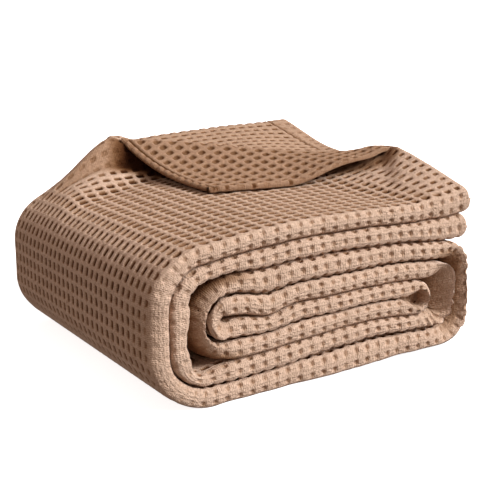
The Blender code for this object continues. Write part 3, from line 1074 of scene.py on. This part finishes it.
def build_flap():
    """The turned-back corner, which shows the reverse of the weave and has two rolled hems."""
    across, middle, up = flap_middle()
    along, around = flap_cloth(middle)
    relief, hollow = waffle(along, around, REVERSE, FLAP_CELLS)
    swell, groove, left = flap_hems(across, along, middle)
    relief = relief * left - STITCH_DEEP * groove
    # Painted shade in the hollows, and in the hems' grooves, dents and knot.
    hollow = np.maximum(hollow * left, HEM_PAINTED_SHADE * groove)
    thin = 1.0 - END_THINNER * ramp(across, END_THINS)
    top = middle + up * (thin * (FLAP_PLY / 2 + swell + relief))[:, :, None]
    under = middle - up * (thin * (FLAP_PLY / 2 + swell * HEM_BELOW))[:, :, None]
    points = np.concatenate((top, under[:, ::-1]), axis=1)
    # Painted shade over the whole corner, more on its underside.
    painted_light = np.full_like(along, FLAP_PAINTED_SHADE)
    sides = {"along": (along, along), "around": (around, around),
             "hollow": (hollow, np.zeros_like(hollow)), "painted_light": (painted_light, painted_light * UNDER_PAINTED_SHADE)}
    maps = {key: np.concatenate((upper, lower[:, ::-1]), axis=1)
            for key, (upper, lower) in sides.items()}
    normals = normals_of(points, True)
    if normals[:, :middle.shape[1], 2].sum() < 0:
        points, normals = points[::-1], -normals[::-1]
        maps = {key: values[::-1] for key, values in maps.items()}
    return tube_piece("turned_back_corner", points, normals, maps, capped=True)


# ==== materials
def set_inputs(tree, node, values):
    """Give a node's inputs plain values, or link them to sockets of other nodes."""
    for name, value in values.items():
        if isinstance(value, bpy.types.NodeSocket):
            tree.links.new(value, node.inputs[name])
        else:
            node.inputs[name].default_value = value


def add_node(tree, kind, values=None):
    """A new node, with plain values or sockets for its inputs."""
    node = tree.nodes.new("ShaderNode" + kind)
    set_inputs(tree, node, values or {})
    return node


def add_math(tree, operation, *operands):
    """Socket of a sum on sockets and plain numbers."""
    node = add_node(tree, "Math", dict(enumerate(operands)))
    node.operation = operation
    return node.outputs["Value"]


def mapped(tree, value, spans):
    """Socket of a value that is mapped from one span to another."""
    return add_node(tree, "MapRange", spans | {"Value": value}).outputs["Result"]


def noise(tree, place, values):
    """Socket of noise over the cloth."""
    return add_node(tree, "TexNoise", values | {"Vector": place}).outputs["Fac"]


def mixed_color(tree, factor, first, second):
    """Socket of a colour between two plain ones."""
    node = add_node(tree, "Mix")
    node.data_type = "RGBA"
    set_inputs(tree, node, {"Factor": factor, "A": first, "B": second})
    return node.outputs["Result"]


def add_attribute(tree, name):
    """Socket of one of the mesh's attributes."""
    node = add_node(tree, "Attribute")
    node.attribute_name = name
    return node.outputs["Fac"]


def shade_color(tree):
    """Socket of the painted shade and light, which darkens each channel in its own way."""
    light = add_math(tree, "MULTIPLY_ADD", add_attribute(tree, "hollow"), -HOLLOW_SHADE, 1.0)
    light = add_math(tree, "MULTIPLY", light, add_attribute(tree, "painted_light"))
    channels = {name: add_math(tree, "POWER", light, SHADE_POWERS[name]) for name in SHADE_POWERS}
    return add_node(tree, "CombineXYZ", channels).outputs["Vector"]


def cotton_color(tree, place):
    """Socket of the yarns' own colour, blotched as cotton is, times the painted shade and light."""
    blotch = mapped(tree, noise(tree, place, BLOTCH), BLOTCH_SPAN)
    yarn = mixed_color(tree, blotch, YARN_DARK, YARN_LIGHT)
    node = add_node(tree, "VectorMath", {0: yarn, 1: shade_color(tree)})
    node.operation = "MULTIPLY"
    return node.outputs["Vector"]


def thread_waves(tree, coordinate, count):
    """Socket of a wave that has a count of threads in each cell of the weave."""
    return add_math(tree, "COSINE", add_math(tree, "MULTIPLY", coordinate, math.tau * count))


def cotton_normals(tree, place):
    """Socket of normals with the weave's threads and the cotton's fuzz as bump."""
    cloth = add_node(tree, "UVMap")
    cloth.uv_map = "cloth"
    axes = add_node(tree, "SeparateXYZ", {"Vector": cloth.outputs["UV"]}).outputs
    waves = add_math(tree, "ADD", thread_waves(tree, axes["X"], THREADS_ALONG),
                     thread_waves(tree, axes["Y"], THREADS_AROUND))
    height = add_math(tree, "MULTIPLY_ADD", noise(tree, place, FUZZ), FUZZ_SHARE, waves)
    return add_node(tree, "Bump", YARN_BUMP | {"Height": height}).outputs["Normal"]


def shaded_material(name, values):
    """A new material, and its node tree and shader, which has values for its inputs."""
    material = bpy.data.materials.new(name)
    material.use_nodes = True
    tree = material.node_tree
    shader = tree.nodes["Principled BSDF"]
    set_inputs(tree, shader, values)
    return material, tree, shader


def cotton_material():
    """Matte cotton: painted shade in the hollows, grooves and gaps, painted light on rims, yarns as
    bump.
    """
    material, tree, shader = shaded_material("waffle_cotton", COTTON)
    place = add_node(tree, "TexCoord").outputs["Object"]
    color, normals = cotton_color(tree, place), cotton_normals(tree, place)
    set_inputs(tree, shader, {"Base Color": color, "Normal": normals})
    return material


# ==== stage, light and camera
def build_floor():
    """A plain pale floor, which reaches past every view and throws no light on the cloth."""
    ways = ((-1, -1), (1, -1), (1, 1), (-1, 1))
    corners = [(FLOOR_REACH * x, FLOOR_REACH * y, FLOOR_HEIGHT) for x, y in ways]
    mesh = bpy.data.meshes.new("floor")
    mesh.from_pydata(corners, [], [(0, 1, 2, 3)])
    mesh.materials.append(shaded_material("pale_floor", FLOOR)[0])
    floor = shown("floor", mesh)
    floor.visible_diffuse = False


def build_world():
    """Soft light from all round, weaker from below, with a white background."""
    world = bpy.data.worlds.new("studio")
    world.use_nodes = True
    tree = world.node_tree
    seen = add_node(tree, "LightPath").outputs["Is Camera Ray"]
    way = add_node(tree, "TexCoord").outputs["Generated"]
    height = add_node(tree, "SeparateXYZ", {"Vector": way}).outputs["Z"]
    strength = add_math(tree, "MAXIMUM", mapped(tree, height, AMBIENT_BELOW), seen)
    color = mixed_color(tree, seen, AMBIENT, WHITE)
    set_inputs(tree, tree.nodes["Background"], {"Color": color, "Strength": strength})
    bpy.context.scene.world = world


def build_key_light():
    """One wide soft light from above and the right."""
    lamp = bpy.data.lights.new("key", "SUN")
    lamp.energy = KEY_STRENGTH
    lamp.color = KEY_COLOR
    lamp.angle = KEY_SPREAD
    shown("key", lamp).rotation_euler = Vector(KEY_FROM).to_track_quat("Z", "Y").to_euler()


def build_camera():
    """The photograph's camera, and a plain view of its colours."""
    camera = shown("camera", bpy.data.cameras.new("camera"))
    camera.data.sensor_width = SENSOR
    camera.data.lens = CAMERA_LENS
    camera.location = CAMERA_PLACE
    camera.rotation_euler = (math.pi / 2 - CAMERA_ELEVATION, 0, CAMERA_AZIMUTH)
    bpy.context.scene.camera = camera
    bpy.context.scene.view_settings.view_transform = "Standard"


# ==== the scene
cotton = cotton_material()
pieces = []
for (name, first, outside_shown), last in zip(STRETCHES, STRETCH_ENDS):
    piece = strip_piece(name, first, last, outside_shown)
    pieces.append(piece)
flap = build_flap()
# The corner's flat size includes what rounds the crest. It isn't a rectangle.
pieces.append(flap)
for piece in pieces:
    piece.data.materials.append(cotton)
    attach(piece, "root")
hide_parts("blanket")

build_floor()
build_world()
build_key_light()
build_camera()
